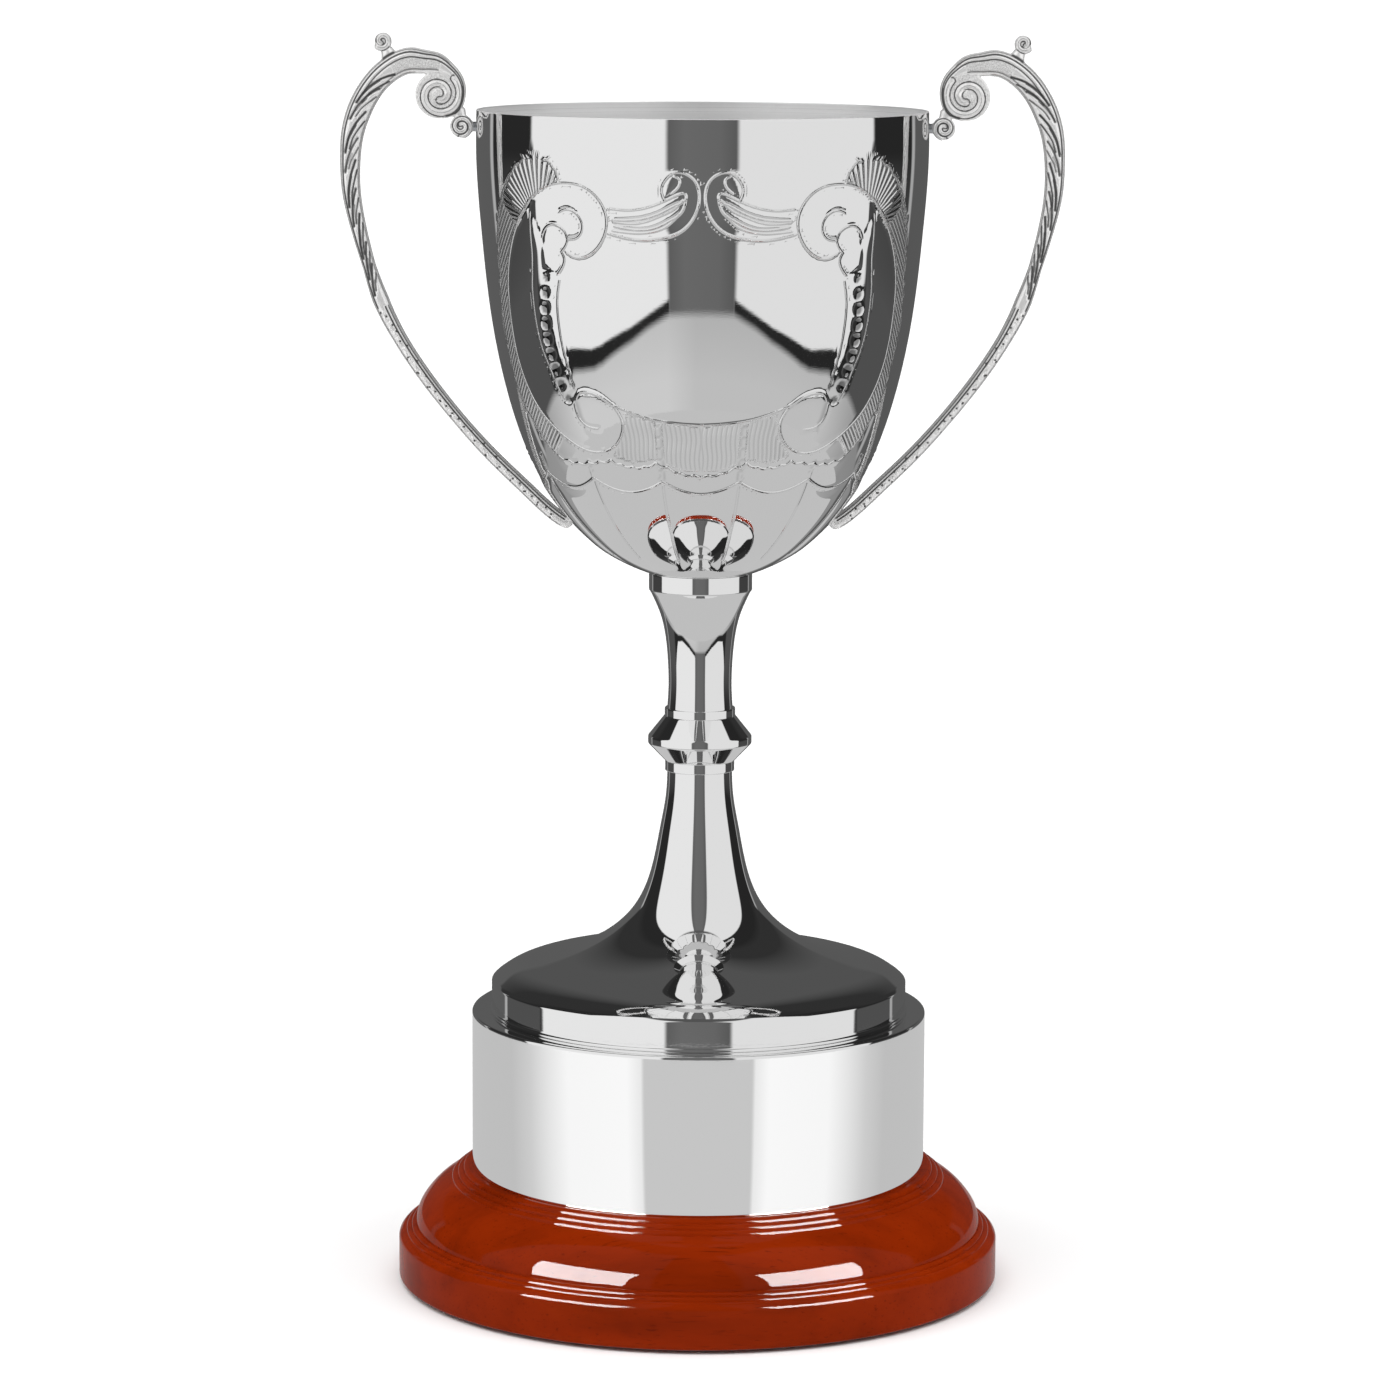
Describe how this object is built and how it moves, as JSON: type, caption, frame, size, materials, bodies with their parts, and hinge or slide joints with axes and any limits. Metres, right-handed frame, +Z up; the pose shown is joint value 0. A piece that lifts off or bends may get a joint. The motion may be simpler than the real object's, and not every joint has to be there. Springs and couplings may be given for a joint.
{
  "type": "cup trophy",
  "caption": "Two-handled metal presentation cup with chased bowl, turned stem and trumpet foot, on a round wooden plinth with a metal band.",
  "frame": {"origin": "centre of the felt pad's underside, which the cup rests on", "axes": "+Z up along the cup's axis, X through both handles, front faces -Y"},
  "size_m": [0.2246, 0.1904, 0.3938],
  "materials": {
    "felt": "pressed wool felt",
    "lacquered_wood": "red-brown stain under high-gloss lacquer",
    "bare_wood": "turned, unfinished",
    "polished_plate": "mirror-polished plate, satin inside the bowl",
    "cast_plate": "cast, plated and brightened, darker in the recesses",
    "hardware": "zinc plated"
  },
  "bodies": {
    "root": {"felt_pad": "felt", "plinth_base": "lacquered_wood", "plinth_drum": "bare_wood", "plinth_band": "polished_plate", "band_pins": "hardware", "plinth_screws": "hardware", "foot": "polished_plate", "knop": "polished_plate", "upper_stem": "polished_plate", "bowl": "polished_plate", "handle_left": "cast_plate", "handle_right": "cast_plate", "handle_screws": "hardware", "handle_washers": "hardware", "tie_rod": "hardware", "cap_washer": "hardware", "cap_nut": "hardware", "base_washer": "hardware", "lock_washer": "hardware", "base_nut": "hardware"}
  },
  "joints": []
}
